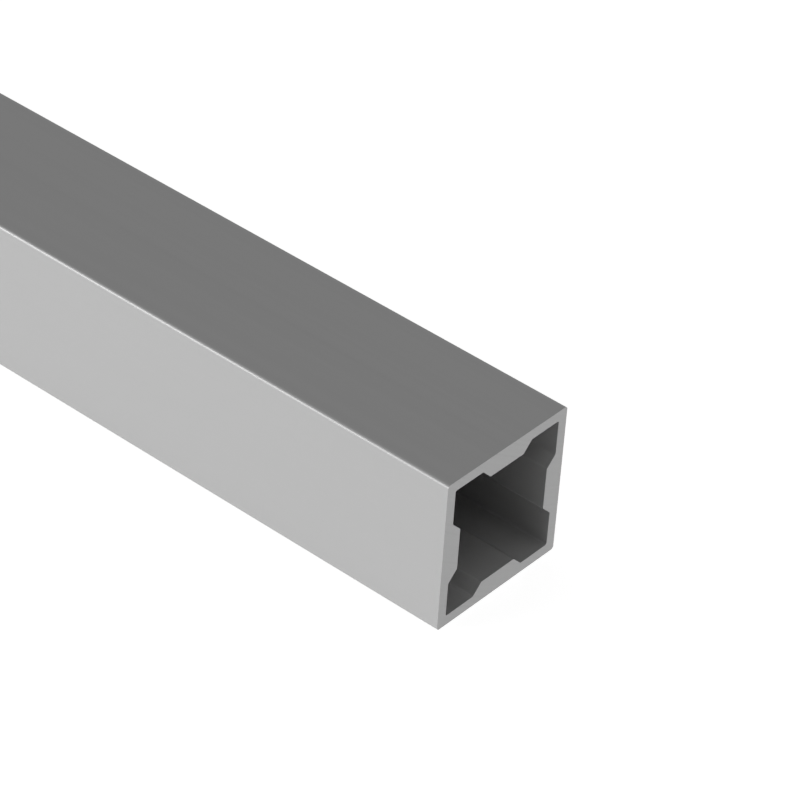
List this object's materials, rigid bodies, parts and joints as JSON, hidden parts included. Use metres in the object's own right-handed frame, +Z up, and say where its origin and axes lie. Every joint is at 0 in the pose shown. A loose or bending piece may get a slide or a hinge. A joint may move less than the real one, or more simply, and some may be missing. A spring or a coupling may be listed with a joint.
{
  "type": "square metal profile",
  "caption": "Square aluminium framing profile: a thin-walled extruded tube with a thicker pad along the inside of each wall, and square-cut open ends.",
  "frame": {"origin": "in the face that the profile lies on, under the middle of its length and width", "axes": "+X along the profile, towards the sawn end that the picture shows; +Z up, out of the top face; -Y out of the front face"},
  "size_m": [1, 0.03, 0.03],
  "materials": {
    "anodised_aluminium": "satin"
  },
  "bodies": {
    "root": {"square_profile": "anodised_aluminium"}
  },
  "joints": []
}
